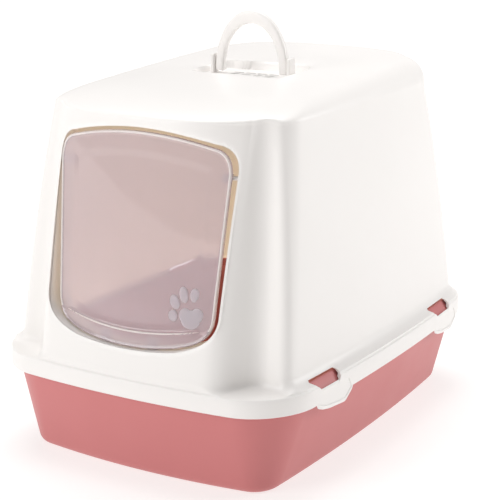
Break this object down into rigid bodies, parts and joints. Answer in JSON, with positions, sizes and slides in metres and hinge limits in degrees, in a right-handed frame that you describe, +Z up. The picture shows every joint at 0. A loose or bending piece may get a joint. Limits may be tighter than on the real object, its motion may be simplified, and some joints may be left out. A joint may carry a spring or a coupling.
{
  "type": "hooded cat litter box",
  "caption": "Hooded cat litter box: a drafted rose tray under a glossy white lift-off hood with fluted corners, a clear swing door, a folding carry handle and snap tabs.",
  "frame": {"origin": "middle of the tray's underside, on the floor", "axes": "+Z up, the door faces -Y, the long side runs along Y, +X is on the viewer's right when facing the door"},
  "size_m": [0.375, 0.5, 0.4545],
  "materials": {
    "shell_white": "glossy white moulded plastic",
    "tray_rose": "satin rose moulded plastic",
    "door_smoke": "clear, faintly warm tinted plastic",
    "charcoal_foam": "soft charcoal filter pad"
  },
  "bodies": {
    "base": {"tray": "tray_rose"},
    "hood": {"hood": "shell_white", "hinge_pin_right": "shell_white", "hinge_pin_left": "shell_white"},
    "door": {"door_flap": "door_smoke"},
    "handle": {"handle": "shell_white"},
    "filter": {"filter_cassette": "shell_white", "filter_pad": "charcoal_foam"},
    "tab_front_right": {"tab_front_right": "shell_white"},
    "tab_rear_right": {"tab_rear_right": "shell_white"},
    "tab_front_left": {"tab_front_left": "shell_white"},
    "tab_rear_left": {"tab_rear_left": "shell_white"}
  },
  "joints": [
    {"name": "hood_lift", "type": "slide", "parent": "base", "child": "hood", "axis": [0, 0, 1], "range_m": [0, 0.15]},
    {"name": "door_swing", "type": "hinge", "parent": "hood", "child": "door", "pos_m": [0, -0.192, 0.315], "axis": [-1, 0, 0], "range_deg": [0, 80]},
    {"name": "handle_fold", "type": "hinge", "parent": "hood", "child": "handle", "pos_m": [0, 0.011, 0.391], "axis": [1, 0, 0], "range_deg": [-74, 78]},
    {"name": "filter_slide", "type": "slide", "parent": "hood", "child": "filter", "axis": [0, -1, 0], "range_m": [0, 0.09]},
    {"name": "tab_front_right_flex", "type": "hinge", "parent": "hood", "child": "tab_front_right", "pos_m": [0.1828, -0.14, 0.1012], "axis": [-0.0512, -0.9987, 0], "range_deg": [0, 8], "stiffness_Nm_per_rad": 0.02},
    {"name": "tab_rear_right_flex", "type": "hinge", "parent": "hood", "child": "tab_rear_right", "pos_m": [0.1828, 0.14, 0.1012], "axis": [0.0512, -0.9987, 0], "range_deg": [0, 8], "stiffness_Nm_per_rad": 0.02},
    {"name": "tab_front_left_flex", "type": "hinge", "parent": "hood", "child": "tab_front_left", "pos_m": [-0.1828, -0.14, 0.1012], "axis": [-0.0512, 0.9987, 0], "range_deg": [0, 8], "stiffness_Nm_per_rad": 0.02},
    {"name": "tab_rear_left_flex", "type": "hinge", "parent": "hood", "child": "tab_rear_left", "pos_m": [-0.1828, 0.14, 0.1012], "axis": [0.0512, 0.9987, 0], "range_deg": [0, 8], "stiffness_Nm_per_rad": 0.02}
  ]
}
